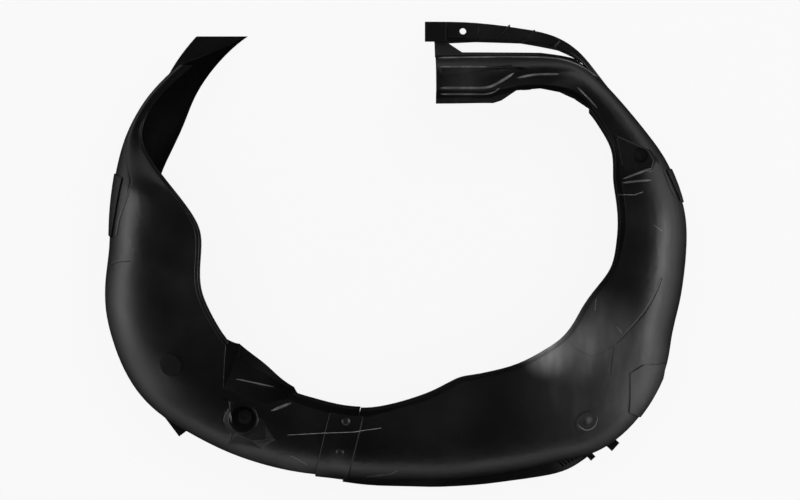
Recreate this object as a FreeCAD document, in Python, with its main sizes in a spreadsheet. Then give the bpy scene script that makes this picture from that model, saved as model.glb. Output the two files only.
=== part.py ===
"""Wheel guard: the plastic liner of a wheel arch, in two moulded sections riveted together.

It lies on its outboard rim. The wheel's axis is along Z, and the origin is under the middle of the part.
"""
import FreeCAD, Part
import math
import os
from FreeCAD import Placement, Rotation, Vector

doc = FreeCAD.newDocument("wheel_guard")

# Driving sizes in millimetres and degrees, with heights counted from the crown's crest;
# a place in plan is counted from the wheel's axis
SIZES = {
    "axis_x": 3.95,
    "axis_y": 13.35,
    "wall": 2.6,
    "shoulder_height": 130,
    "crown_rise": 92,
    "crest_height": "=shoulder_height + crown_rise",
    "crown_share": 0.9,
    "section_step": 6,
    "core_margin": 45,
    "rim_allowance": 1,
    "seam_angle": -104,
    "seam_split": 0.3,
    "tongue_width": 37,
    "tongue_gap": 0.25,
    "tongue_drop": 0.55,
    "joggle_width": 6,
    "sill_end_x": 47,
    "strip_end_x": 34,
    "strip_edge_y": 285,
    "leg_end_y": 306,
    "leg_end_lean": 0.42,
    "fixing_sink": 27,
    "fixing_height": "=crest_height - fixing_sink",
    "fixing_hole_radius": 4,
    "boss_sink": 6,
    "boss_height": "=crest_height - boss_sink",
    "boss_depth": 36,
    "boss_base": "=boss_height - boss_depth",
    "boss_cup_x": -202,
    "boss_cup_y": -217,
    "boss_cup_radius": 16,
    "boss_floor_radius": 9,
    "scoop_over": 10,
    "scoop_top": "=crest_height + scoop_over",
    "scoop_depth": 82,
    "scoop_floor": "=scoop_top - scoop_depth",
    "seat_sink": 23,
    "seat_height": "=crest_height - seat_sink",
    "seat_depth": 49,
    "seat_base": "=seat_height - seat_depth",
    "seat_cup_x": 312,
    "seat_cup_y": 123,
    "seat_cup_radius": 10,
    "seat_floor_radius": 8,
    "cup_over": 4,
    "sill_panel_sink": 29,
    "sill_panel_height": "=crest_height - sill_panel_sink",
    "sill_panel_depth": 43,
    "sill_panel_base": "=sill_panel_height - sill_panel_depth",
    "sill_panel_draft": 5,
    "strip_hole_radius": 4.5,
    "strip_hole_x": 86,
    "strip_hole_y": 299,
    "strip_pad_length": 43,
    "strip_pad_width": 20,
    "strip_pad_height": 1.6,
    "strip_tail_length": 27,
    "strip_tail_width": 27,
    "strip_tail_height": 5,
    "rib_width": 2.4,
    "rib_height": 3,
    "flange_bite": 0.5,
    "disc_x": 243,
    "disc_y": -223.5,
    "disc_radius": 15.5,
    "disc_height": 1.2,
    "pip_radius": 3.4,
    "pip_height": 2.6,
    "mark_x": -296,
    "mark_y": -148.5,
    "mark_radius": 15,
    "pad_root": 8,
    "pad_bevel": 2.4,
    "collar_root": 14,
    "collar_spread": 11,
    "collar_lip": 2.5,
    "collar_height": 3,
    "pad_height": 2,
    "louvre_count": 8,
    "louvre_width": 2.6,
    "louvre_pitch": 5.2,
    "louvre_length": 9,
    "louvre_angle": -50.5,
    "louvre_radius": 387,
    "louvre_climb": 1.1,
    "louvre_lean": 14,
    "tab_height": 3,
    "corner_tab_angle": -42.4,
    "corner_tab_radius": 398,
    "corner_tab_length": 20,
    "corner_tab_width": 16,
    "vent_tab_angle": -47.2,
    "vent_tab_radius": 390,
    "vent_tab_length": 17,
    "vent_tab_width": 9,
    "boss_tab_angle": -143,
    "boss_tab_radius": 396,
    "boss_tab_length": 17,
    "boss_tab_width": 46,
    "rivet_head_radius": 5.5,
    "rivet_head_height": 2.2,
    "rivet_crown_radius": 3.2,
    "rivet_shank_radius": 2.4,
    "rivet_tail_radius": 3.4,
    "rivet_tail_height": 1.6,
    "rivet_tail_gap": 0.4,
    "rivet_clearance": 0.1,
    "rivet_inner_x": -69.4,
    "rivet_inner_y": -219.6,
    "rivet_outer_x": -77.6,
    "rivet_outer_y": -261,
    "reach": 700,
}

# One row for each section of the arch, a radial cut at an angle about the wheel's axis:
# shoulder and inner edge are radii; the edge has a wall (run and drop) and a foot;
# the outer wall leans out by flare to the rim flange, which is lifted off the floor at the sill end
COLUMNS = ("angle", "shoulder", "inner", "run", "drop", "foot", "flare", "flange", "lift")
FRONT = {
    "sill_trim": (84, 263, 190, 8, 16, 12, 27, 24, 95),
    "sill_end": (77, 268, 193, 8, 16, 12, 26, 26, 95),
    "sill_mid": (68, 282, 203, 8, 16, 12, 28, 23, 95),
    "sill_side": (63, 293.5, 211, 8, 16, 12, 28, 20, 95),
    "sill_corner": (58, 308, 223, 8, 16, 12, 28, 17, 95),
    "sill_step": (55.5, 317, 236, 7.5, 15, 11, 26, 15, 94),
    "sill_neck": (53, 327, 253, 7, 13, 10, 23, 13, 92),
    "sill_bend": (47, 346, 278, 6, 10, 8, 14, 7, 85),
    "arm_top": (41, 353, 302, 4, 8, 6, 8, 6, 65),
    "arm_upper": (34, 357, 309, 3, 6, 4, 6, 10, 35),
    "arm_seat": (26, 366, 307, 3, 6, 4, 4, 17, 8),
    "arm_step": (17, 378, 292, 5, 20, 3, 3, 20, 0),
    "arm_mid": (6, 385, 284, 5, 20, 3, 3, 20, 0),
    "arm_lower": (-5, 382, 272, 3, 8, 3, 3, 20, 0),
    "arm_root": (-15, 381, 249, 3, 8, 3, 2, 20, 0),
    "corner_upper": (-27, 392, 239, 3, 8, 3, 3, 18, 0),
    "corner_mid": (-36, 391, 224, 3, 8, 3, 3, 17, 0),
    "corner_lower": (-45, 379, 209, 3, 8, 3, 6, 17, 0),
    "vent": (-54, 353, 194, 3, 8, 3, 22, 17, 0),
    "crown_vent": (-66, 328, 181, 4, 10, 3, 17, 18, 0),
    "crown_front": (-78, 315, 187, 5, 14, 3, 14, 17, 0),
    "crown_mid": (-90, 309, 196, 5, 14, 3, 12, 17, 0),
    "crown_seam": (-102, 314, 209, 7, 22, 3, 12, 15, 0),
    "crown_under": (-112, 323, 217, 8, 30, 3, 8, 15, 0),
}
REAR = {
    "seam_trim": (-97, 311, 204, 7, 22, 3, 6, 15, 0),
    "seam_end": (-106, 316, 212, 8, 30, 3, 4, 16, 0),
    "crown_rear": (-118, 333, 221, 8, 30, 3, 3, 16, 0),
    "boss_side": (-130, 355, 232, 6, 20, 3, 2, 17, 0),
    "boss_rear": (-140, 376, 235, 3, 8, 3, 2, 20, 0),
    "haunch_lower": (-150, 398, 248, 3, 8, 3, 0, 24, 0),
    "haunch_mid": (-160, 404, 256, 3, 8, 3, -2, 24, 0),
    "haunch_upper": (-170, 402, 261, 3, 8, 3, -5, 25, 0),
    "leg_lower": (-180, 390, 256, 3, 8, 3, -15, 28, 0),
    "leg_mid": (-188, 391, 263, 3, 8, 3, -25, 30, 0),
    "leg_neck": (-194, 394, 296, 3, 6, 3, -32, 34, 0),
    "leg_upper": (-199, 397, 339, 3, 5, 3, -36, 38, 0),
    "leg_thin": (-204, 399, 377, 2, 3, 2, -40, 42, 0),
    "leg_waist": (-209, 398, 383, 1, 1, 1, -38, 45, 0),
    "leg_strip": (-216, 392, 377, 1, 1, 1, -24, 46, 0),
    "leg_tip": (-224, 383, 368, 1, 1, 1, -8, 46, 0),
    "leg_end": (-232, 374, 359, 1, 1, 1, 4, 46, 0),
    "leg_trim": (-240, 366, 351, 1, 1, 1, 12, 46, 0),
}

# Outlines in plan, corner for corner: a raised pad's top and base, and a scoop's mouth and floor
BOSS_TOP = ((-220, -194), (-175, -208.5), (-172.5, -244.6), (-190.5, -246), (-211, -237))
BOSS_BASE = ((-233, -186), (-131, -189), (-115, -246.5), (-173, -267.5), (-225.6, -254))
SCOOP_TOP = ((-230, -186), (-175, -205.5), (-127.6, -187.6), (-112, -160), (-225, -110))
SCOOP_BASE = ((-216, -141), (-183, -163), (-146, -183), (-112, -160), (-205, -100))
SEAT_TOP = ((323, 128.6), (330, 117), (327, 105), (292, 92), (281, 149))
SEAT_BASE = ((335.6, 134.5), (346, 120), (339.6, 90.5), (298, 87), (286, 152))
LEG_PAD = ((-364, 95), (-400, 110), (-410, 30), (-383, 16))
ARM_PAD = ((351, 106), (371, 64), (392, 64), (378, 112))
CORNER_PAD = ((299, -160), (316, -150), (352, -150), (352, -210), (330, -228), (301, -214))
SILL_PANEL = ((53, 238), (148, 238), (129, 213), (53, 213))
SILL_EDGE = (
    (127.4, 191.8), (152.4, 208.8), (183.9, 211.5), (210, 207.5), (229.8, 199.6), (249.5, 186.5),
)
SLOT = (
    (66, 282), (84, 267), (190, 266.6), (237, 260), (268, 236),
    (251, 257), (217, 272), (165, 282), (103, 284),
)
RIBS = (((150, 307), (130, 287)), ((184, 300), (164, 284)), ((218, 287), (209, 277)))
CROWN_STEPS = 6


def write_sheet():
    """Puts every driving size in the spreadsheet, one aliased cell each."""
    cells = dict(SIZES)
    for rows in (FRONT, REAR):
        for name, values in rows.items():
            for column, value in zip(COLUMNS, values):
                cells[name + "_" + column] = value
    made = doc.addObject("Spreadsheet::Sheet", "sizes")
    for row, (alias, value) in enumerate(cells.items(), start=1):
        made.set("A%d" % row, alias)
        made.set("B%d" % row, str(value))
        made.setAlias("B%d" % row, alias)
    doc.recompute()
    return made


sheet = write_sheet()


def size(alias):
    return float(sheet.get(alias))


AXIS = Vector(size("axis_x"), size("axis_y"), 0)
WALL = size("wall")
UP = Vector(0, 0, 1)


def slopes(angles, values):
    """A slope at each row that lets a smooth curve through the rows never overshoot them."""
    steps = [(d - c) / (b - a) for a, b, c, d in zip(angles, angles[1:], values, values[1:])]
    middle = [2 * a * b / (a + b) if a * b > 0 else 0 for a, b in zip(steps, steps[1:])]
    return steps[:1] + middle + steps[-1:]


def curve_at(angle, angles, values):
    """The value at this angle on the smooth curve through the rows."""
    tilts = slopes(angles, values)
    n = max(i for i, a in enumerate(angles[:-1]) if a <= angle)
    span = angles[n + 1] - angles[n]
    part = (angle - angles[n]) / span
    ease = part * part * (3 - 2 * part)
    rise = values[n] + (values[n + 1] - values[n]) * ease
    return rise + span * part * (1 - part) * (tilts[n] * (1 - part) - tilts[n + 1] * part)


def stations(rows):
    """Evenly spaced sections of one moulding, from the sheet's rows."""
    columns = {c: [size(name + "_" + c) for name in rows][::-1] for c in COLUMNS}
    angles = columns["angle"]
    count = round((angles[-1] - angles[0]) / size("section_step"))
    made = []
    for n in range(count + 1):
        angle = angles[0] + (angles[-1] - angles[0]) * n / count
        made.append({c: curve_at(angle, angles, columns[c]) for c in COLUMNS})
    return made


def at(angle, radius, height):
    """A point in the radial plane at this angle about the wheel's axis."""
    turn = math.radians(angle)
    return AXIS + Vector(radius * math.cos(turn), radius * math.sin(turn), height)


def plan(x, y, height):
    """A point by its place from the wheel's axis."""
    return AXIS + Vector(x, y, height)


def crown(section, depth):
    """The foot's corner and the crown's points at this depth under the outer skin, as (radius, height)."""
    rise = min(size("crown_rise"), size("crown_share") * (section["shoulder"] - section["inner"]))
    crest = size("shoulder_height") + rise
    slant = math.hypot(section["run"], section["drop"])
    lean = section["run"] / section["drop"]
    wall_r = section["inner"] + section["foot"] + depth * section["drop"] / slant
    wall_z = crest - section["drop"] - depth * section["run"] / slant
    foot_z = crest - section["drop"] - depth
    root = (wall_r + (foot_z - wall_z) * lean, foot_z)
    start = wall_r + (crest - depth - wall_z) * lean
    across = section["shoulder"] - depth - start
    points = []
    for step in range(CROWN_STEPS + 1):
        turn = math.pi / 2 * (1 - step / CROWN_STEPS)
        height = size("shoulder_height") + (rise - depth) * math.sin(turn)
        points.append((start + across * math.cos(turn), height))
    return root, points


def spline(angle, points):
    """A curve that passes its points at even steps, so that all sections match."""
    curve = Part.BSplineCurve()
    steps = [float(n) for n in range(len(points))]
    curve.interpolate(Points=[at(angle, r, z) for r, z in points], Parameters=steps)
    return curve.toShape()


def lines(angle, points):
    ends = [at(angle, r, z) for r, z in points]
    return [Part.makeLine(a, b) for a, b in zip(ends, ends[1:])]


def skin_wire(section):
    """A radial cut of everything under the outer skin, a little past the rim's plane."""
    angle = section["angle"]
    root, points = crown(section, 0)
    rim = section["shoulder"] + section["flare"]
    lip = rim + section["flange"]
    top = section["lift"] + WALL
    low = section["lift"] - size("rim_allowance")
    start = (section["inner"], root[1])
    below = (start[0], start[1] - 3 * WALL)
    back = (min(start[0], rim - 3 * WALL), low)
    close = [points[-1], (rim, top), (lip, top), (lip, low), back, below, start]
    edge = lines(angle, [start, root, points[0]])
    return Part.Wire(edge + [spline(angle, points)] + lines(angle, close))


def core_wire(section):
    """A radial cut of the hollow under the wall, past the rim and the inner edge."""
    angle = section["angle"]
    root, points = crown(section, WALL)
    rim = section["shoulder"] + section["flare"] - WALL
    low = section["lift"] - size("core_margin")
    start = (section["inner"] - size("core_margin"), root[1])
    close = [points[-1], (rim, section["lift"]), (rim, low), (start[0], low), start]
    edge = lines(angle, [start, root, points[0]])
    return Part.Wire(edge + [spline(angle, points)] + lines(angle, close))


def lap_wire(section, top, under):
    """A radial cut of a strip over the crown, between two depths, down to part of the outer wall."""
    angle = section["angle"]
    share = size("tongue_drop")
    sides = []
    for depth in (top, under):
        points = crown(section, depth)[1]
        shoulder_r, shoulder_z = points[-1]
        end = (shoulder_r + share * section["flare"], shoulder_z - share * (shoulder_z - section["lift"]))
        sides.append((points, end))
    (outer, outer_end), (inner, inner_end) = sides
    edges = [spline(angle, outer)] + lines(angle, [outer[-1], outer_end, inner_end, inner[-1]])
    return Part.Wire(edges + [spline(angle, inner)] + lines(angle, [inner[0], outer[0]]))


def feature(name, shape):
    made = doc.addObject("Part::Feature", name)
    made.Shape = shape
    return made


def loft(name, wires, ruled=False):
    """A solid through these wires."""
    made = doc.addObject("Part::Loft", name)
    made.Sections = [feature("%s_cut_%d" % (name, n), wire) for n, wire in enumerate(wires)]
    made.Solid = True
    made.Ruled = ruled
    return made


def fuse(name, *pieces):
    made = doc.addObject("Part::MultiFuse", name)
    made.Shapes = list(pieces)
    return made


def cut(name, base, tool):
    made = doc.addObject("Part::Cut", name)
    made.Base = base
    made.Tool = tool
    return made


def common(name, *pieces):
    made = doc.addObject("Part::MultiCommon", name)
    made.Shapes = list(pieces)
    return made


def solid(kind, name, **sizes):
    """A primitive whose sizes are expressions on the sheet."""
    made = doc.addObject("Part::" + kind, name)
    for prop, expression in sizes.items():
        made.setExpression(prop, expression)
    return made


def grown(points, by):
    """An outline moved outward by this much, corner for corner."""
    pairs = list(zip(points, points[1:] + points[:1]))
    area = sum(a[0] * b[1] - b[0] * a[1] for a, b in pairs)
    side = by if area > 0 else -by
    normals = []
    for (ax, ay), (bx, by_) in pairs:
        long = math.hypot(bx - ax, by_ - ay)
        normals.append(((by_ - ay) / long, (ax - bx) / long))
    moved = []
    for n, (x, y) in enumerate(points):
        (px, py), (qx, qy) = normals[n - 1], normals[n]
        share = side / (1 + px * qx + py * qy)
        moved.append((x + share * (px + qx), y + share * (py + qy)))
    return moved


def outline(points, height):
    corners = [plan(x, y, height) for x, y in points]
    return Part.makePolygon(corners + corners[:1])


def block(name, top, top_z, base, base_z, by=0, bevel=0):
    """A drafted block between two outlines, its sides moved outward and its top edge bevelled."""
    levels = [outline(grown(top, by), top_z - bevel / 2), outline(grown(base, by), base_z)]
    if bevel:
        levels.insert(0, outline(grown(top, by - bevel), top_z))
    return loft(name, levels, ruled=True)


def prism(name, points):
    """A block right through the part."""
    return block(name, points, size("reach"), points, -size("reach"))


def cup(name, pad, by, under):
    """A conical cup from its floor to over the pad's top, grown for the wall's other side."""
    deep = "(sizes.%s_height - sizes.fixing_height)" % pad
    spread = "(sizes.%s_cup_radius - sizes.%s_floor_radius)" % (pad, pad)
    made = solid(
        "Cone", name,
        Radius1="sizes.%s_floor_radius + %s" % (pad, by),
        Radius2="sizes.%s_floor_radius + %s + %s * (1 + sizes.cup_over / %s)" % (pad, by, spread, deep),
        Height="%s + sizes.cup_over + %s" % (deep, under),
    )
    made.setExpression("Placement.Base.x", "sizes.axis_x + sizes.%s_cup_x" % pad)
    made.setExpression("Placement.Base.y", "sizes.axis_y + sizes.%s_cup_y" % pad)
    made.setExpression("Placement.Base.z", "sizes.fixing_height - %s" % under)
    return made


def drill(name, x, y, radius):
    """A round hole straight down at this place in plan."""
    made = solid("Cylinder", name, Radius=radius, Height="2 * sizes.reach")
    made.setExpression("Placement.Base.x", "sizes.axis_x + " + x)
    made.setExpression("Placement.Base.y", "sizes.axis_y + " + y)
    made.setExpression("Placement.Base.z", "-sizes.reach")
    return made


def seat(shape, x, y):
    """The outer skin's point over this place in plan, and the way it faces there."""
    ray = Part.makeLine(plan(x, y, -size("reach")), plan(x, y, size("reach")))
    point = max((v.Point for v in shape.common(ray).Vertexes), key=lambda p: p.z)
    near = Part.Vertex(point).distToShape(shape)[2][0]
    normal = shape.Faces[near[4]].normalAt(*near[5])
    return point, normal if normal.z > 0 else -normal


def stand(made, shape, name, sink):
    """Sets a primitive on the skin at the named place, sunk in by this much."""
    point, normal = seat(shape, size(name + "_x"), size(name + "_y"))
    made.Placement = Placement(point - normal * sink, Rotation(UP, normal))
    return made


def skin_pad(name, layer, points):
    """A pad that follows the skin, in this outline in plan."""
    return common(name, layer, prism(name + "_outline", points))


def seam_box(name, width, start):
    """A block along the seam's ray, from this far to one side of it."""
    made = solid("Box", name, Length="sizes.reach", Width=width, Height="2 * sizes.reach")
    turn = Rotation(UP, size("seam_angle"))
    made.Placement = Placement(AXIS + turn.multVec(Vector(0, start, -size("reach"))), turn)
    return made


def rim_block(name, angle, radius, length, width, height, low, lean=0):
    """A block on the flange, from this radius outward, centred on this angle."""
    made = solid("Box", name, Length=length, Width=width, Height=height)
    turn = Rotation(UP, angle + lean)
    wide = float(made.evalExpression(width))
    made.Placement = Placement(at(angle, radius, low) + turn.multVec(Vector(0, -wide / 2, 0)), turn)
    return made


def rim_tab(name):
    keys = ["sizes.%s_%s" % (name, part) for part in ("length", "width")]
    low = size("flange_bite")
    return rim_block(name, size(name + "_angle"), size(name + "_radius"), *keys, "sizes.tab_height", low)


# The skins and cores of both mouldings
rear_skin = loft("rear_skin", [skin_wire(s) for s in stations(REAR)])
rear_core = loft("rear_core", [core_wire(s) for s in stations(REAR)])
front_skin = loft("front_skin", [skin_wire(s) for s in stations(FRONT)])
front_core = loft("front_core", [core_wire(s) for s in stations(FRONT)])
doc.recompute()

# The floor that the rim lies on
floor = solid("Box", "floor", Length="2 * sizes.reach", Width="2 * sizes.reach", Height="sizes.reach")
floor.Placement = Placement(Vector(-size("reach"), -size("reach"), -size("reach")), Rotation())

# Rear moulding: a boss with a cup beside a scoop, a flat pad and a round mark
bevel = size("pad_bevel")
boss_skin = block("boss_skin", BOSS_TOP, size("boss_height"), BOSS_BASE, size("boss_base"), 0, bevel)
boss_under = (size("boss_height") - WALL, size("boss_base") - WALL)
boss_core = block("boss_core", BOSS_TOP, boss_under[0], BOSS_BASE, boss_under[1], -WALL)
scoop_skin = block("scoop_skin", SCOOP_TOP, size("scoop_top"), SCOOP_BASE, size("scoop_floor"))
scoop_core = block("scoop_core", SCOOP_TOP, size("scoop_top"), SCOOP_BASE, size("scoop_floor") - WALL, WALL)
boss_cup_skin = cup("boss_cup_skin", "boss", "0", "0")
boss_cup_core = cup("boss_cup_core", "boss", "sizes.wall", "sizes.wall")
mark = solid("Cylinder", "mark", Radius="sizes.mark_radius", Height="sizes.disc_height + sizes.pad_root")
stand(mark, rear_skin.Shape, "mark", size("pad_root"))
rear_layer = loft("rear_layer", [lap_wire(s, -size("pad_height"), WALL / 2) for s in stations(REAR)])
leg_pad = skin_pad("leg_pad", rear_layer, LEG_PAD)
collar = solid(
    "Cone", "collar",
    Radius1="sizes.boss_cup_radius + sizes.collar_spread",
    Radius2="sizes.boss_cup_radius + sizes.collar_lip",
    Height="sizes.collar_root + sizes.collar_height",
)
collar.setExpression("Placement.Base.x", "sizes.axis_x + sizes.boss_cup_x")
collar.setExpression("Placement.Base.y", "sizes.axis_y + sizes.boss_cup_y")
collar.setExpression("Placement.Base.z", "sizes.boss_height - sizes.collar_root")
rear_full = fuse("rear_full", rear_skin, boss_skin, collar, mark)
rear_outer = cut("rear_outer", rear_full, fuse("rear_dips", scoop_skin, boss_cup_skin))
rear_hollow = fuse("rear_hollow", rear_core, boss_core)
rear_inner = cut("rear_inner", rear_hollow, fuse("rear_dents", scoop_core, boss_cup_core))
rear_shell = cut("rear_shell", rear_outer, rear_inner)

# Front moulding: a seat with a cup, a sill panel, two flat pads and a disc with a pip
seat_skin = block("seat_skin", SEAT_TOP, size("seat_height"), SEAT_BASE, size("seat_base"), 0, bevel)
seat_under = (size("seat_height") - WALL, size("seat_base") - WALL)
seat_core = block("seat_core", SEAT_TOP, seat_under[0], SEAT_BASE, seat_under[1], -WALL)
seat_cup_skin = cup("seat_cup_skin", "seat", "0", "0")
seat_cup_core = cup("seat_cup_core", "seat", "sizes.wall", "sizes.wall")
panel_base = grown(SILL_PANEL, size("sill_panel_draft"))
panel_levels = (size("sill_panel_height"), size("sill_panel_base"))
sill_panel = block("sill_panel", SILL_PANEL, panel_levels[0], panel_base, panel_levels[1], 0, bevel)
disc = solid("Cylinder", "disc", Radius="sizes.disc_radius", Height="sizes.disc_height + sizes.pad_root")
stand(disc, front_skin.Shape, "disc", size("pad_root"))
pip = solid("Cylinder", "pip", Radius="sizes.pip_radius", Height="sizes.pip_height + sizes.pad_root")
stand(pip, front_skin.Shape, "disc", size("pad_root"))
front_layer = loft("front_layer", [lap_wire(s, -size("pad_height"), WALL / 2) for s in stations(FRONT)])
arm_pad = skin_pad("arm_pad", front_layer, ARM_PAD)
corner_pad = skin_pad("corner_pad", front_layer, CORNER_PAD)
front_full = fuse("front_full", front_skin, seat_skin, sill_panel, disc, pip)
front_outer = cut("front_outer", front_full, seat_cup_skin)
front_inner = cut("front_inner", fuse("front_hollow", front_core, seat_core), seat_cup_core)
front_shell = cut("front_shell", front_outer, front_inner)

# The front moulding's tongue laps over the rear one, and a joggle joins it
gap = size("tongue_gap")
lap = loft("lap", [lap_wire(s, -WALL - gap, -gap) for s in stations(REAR)])
step = loft("step", [lap_wire(s, -WALL - gap, WALL / 2) for s in stations(REAR)])
tongue = common("tongue", lap, seam_box("tongue_box", "sizes.tongue_width", -size("tongue_width")))
joggle = common("joggle", step, seam_box("joggle_box", "sizes.joggle_width", 0))
doc.recompute()

# Rivets through the lap, each with a head, a shank and a set tail
GRIP = "(2 * sizes.wall + sizes.tongue_gap + sizes.rivet_tail_gap)"
grip = 2 * WALL + gap + size("rivet_tail_gap")
rivets = []
rivet_holes = []
for place in ("rivet_inner", "rivet_outer"):
    head = solid(
        "Cone", place + "_head",
        Radius1="sizes.rivet_head_radius",
        Radius2="sizes.rivet_crown_radius",
        Height="sizes.rivet_head_height",
    )
    shank = solid(
        "Cylinder", place + "_shank",
        Radius="sizes.rivet_shank_radius",
        Height=GRIP + " + sizes.rivet_tail_height / 2 + sizes.rivet_head_height / 2",
    )
    tail = solid(
        "Cylinder", place + "_tail",
        Radius="sizes.rivet_tail_radius",
        Height="sizes.rivet_tail_height",
    )
    hole = solid(
        "Cylinder", place + "_hole",
        Radius="sizes.rivet_shank_radius + sizes.rivet_clearance",
        Height="2 * sizes.core_margin",
    )
    stand(head, tongue.Shape, place, 0)
    stand(shank, tongue.Shape, place, grip + size("rivet_tail_height") / 2)
    stand(tail, tongue.Shape, place, grip + size("rivet_tail_height"))
    stand(hole, tongue.Shape, place, size("core_margin"))
    rivets.append(fuse(place, head, shank, tail))
    rivet_holes.append(hole)

# Rear moulding: its end, its seam edge, its holes and the tab on its rim
end_y = size("leg_end_y")
lean = size("leg_end_lean") * size("reach")
reach = size("reach")
leg_wires = []
for x in (-reach, -reach / 8):
    foot, head = plan(x, end_y + lean, -reach), plan(x, end_y - lean, reach)
    corners = [foot, head, plan(x, end_y + 2 * lean, reach)]
    leg_wires.append(Part.makePolygon(corners + corners[:1]))
leg_end = loft("leg_end", leg_wires, ruled=True)
rear_seam = seam_box("rear_seam", "sizes.reach / 4", -size("seam_split"))
boss_hole = drill("boss_hole", "sizes.boss_cup_x", "sizes.boss_cup_y", "sizes.fixing_hole_radius")
rear_cuts = fuse("rear_cuts", floor, leg_end, rear_seam, boss_hole, *rivet_holes)
rear_tabbed = fuse("rear_tabbed", rear_shell, leg_pad, rim_tab("boss_tab"))
rear_section = cut("rear_section", rear_tabbed, rear_cuts)

# Front moulding: the sill end, the slot behind the strip, the louvres, the holes, tabs, ribs and pad
front_seam = seam_box("front_seam", "sizes.reach / 4", size("seam_split") - reach / 4)
sill_x, strip_x, edge_y = size("sill_end_x"), size("strip_end_x"), size("strip_edge_y")
sill_end = prism("sill_end_cut", [
    (sill_x, 0), (sill_x, edge_y), (strip_x, edge_y),
    (strip_x, reach), (-reach / 4, reach), (-reach / 4, 0),
])
(first_x, first_y), (last_x, last_y) = SILL_EDGE[0], SILL_EDGE[-1]
sill_edge = prism("sill_edge", [(0, 0), (0, first_y), *SILL_EDGE, (last_x, 0)])
slot = prism("slot", list(SLOT))
seat_hole = drill("seat_hole", "sizes.seat_cup_x", "sizes.seat_cup_y", "sizes.fixing_hole_radius")
strip_hole = drill("strip_hole", "sizes.strip_hole_x", "sizes.strip_hole_y", "sizes.strip_hole_radius")
louvres = []
for n in range(int(size("louvre_count"))):
    along = (n - (size("louvre_count") - 1) / 2) * size("louvre_pitch")
    step_angle = math.degrees(along / size("louvre_radius"))
    louvres.append(rim_block(
        "louvre_%d" % n, size("louvre_angle") + step_angle,
        size("louvre_radius") + size("louvre_climb") * step_angle - size("louvre_length") / 2,
        "sizes.louvre_length", "sizes.louvre_width", "sizes.core_margin", -size("core_margin") / 2,
        size("louvre_lean"),
    ))
strip_low = size("sill_end_lift") + size("flange_bite")
strip_pad = solid(
    "Box", "strip_pad",
    Length="sizes.strip_pad_length",
    Width="sizes.strip_pad_width",
    Height="sizes.strip_pad_height + sizes.wall - sizes.flange_bite",
)
pad_x = size("strip_hole_x") - size("strip_pad_length") / 2
pad_y = size("strip_hole_y") - size("strip_pad_width") / 2
strip_pad.Placement = Placement(plan(pad_x, pad_y, strip_low), Rotation())
strip_tail = solid(
    "Box", "strip_tail",
    Length="sizes.strip_tail_length",
    Width="sizes.strip_tail_width",
    Height="sizes.strip_tail_height",
)
strip_tail.Placement = Placement(plan(strip_x + 2, edge_y - 1, strip_low), Rotation())
ribs = []
for n, ((ax, ay), (bx, by)) in enumerate(RIBS):
    rib = solid("Box", "rib_%d" % n, Width="sizes.rib_width", Height="sizes.rib_height + sizes.wall")
    rib.Length = math.hypot(bx - ax, by - ay)
    turn = Rotation(UP, math.degrees(math.atan2(by - ay, bx - ax)))
    low = size("sill_neck_lift") if n == len(RIBS) - 1 else size("sill_end_lift")
    shift = turn.multVec(Vector(0, -size("rib_width") / 2, 0))
    rib.Placement = Placement(plan(ax, ay, low + size("flange_bite")) + shift, turn)
    ribs.append(rib)
front_trim = cut("front_trim", front_shell, front_seam)
front_tabs = [rim_tab("corner_tab"), rim_tab("vent_tab")]
front_pads = [arm_pad, corner_pad, strip_pad, strip_tail]
front_joined = fuse("front_joined", front_trim, joggle, tongue, *front_pads, *front_tabs, *ribs)
front_openings = [sill_end, sill_edge, slot, seat_hole, strip_hole, *louvres, *rivet_holes]
front_cuts = fuse("front_cuts", floor, *front_openings)
front_section = cut("front_section", front_joined, front_cuts)

seam_rivets = fuse("seam_rivets", *rivets)
doc.recompute()

NODES = (front_section, rear_section, seam_rivets)
for made in doc.Objects:
    if "Invalid" in made.State or "Error" in made.State:
        raise RuntimeError("%s has not been built" % made.Name)
    if hasattr(made, "Shape") and (made.Shape.isNull() or not made.Shape.isValid()):
        raise RuntimeError("%s has no valid shape" % made.Name)

os.makedirs("parts", exist_ok=True)
for node in NODES:
    node.Label = node.Name
    node.Shape.exportStep("parts/%s.step" % node.Name)
    box = node.Shape.BoundBox
    print(node.Name, len(node.Shape.Solids), "solids", round(node.Shape.Volume), box)
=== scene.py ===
"""Dresses the wheel guard: two black mouldings, their rivets and a plain studio."""
import math

import bmesh
import bpy
from bpy.props import FloatProperty, FloatVectorProperty, PointerProperty
from mathutils import Matrix, Vector
from mathutils.bvhtree import BVHTree


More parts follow.
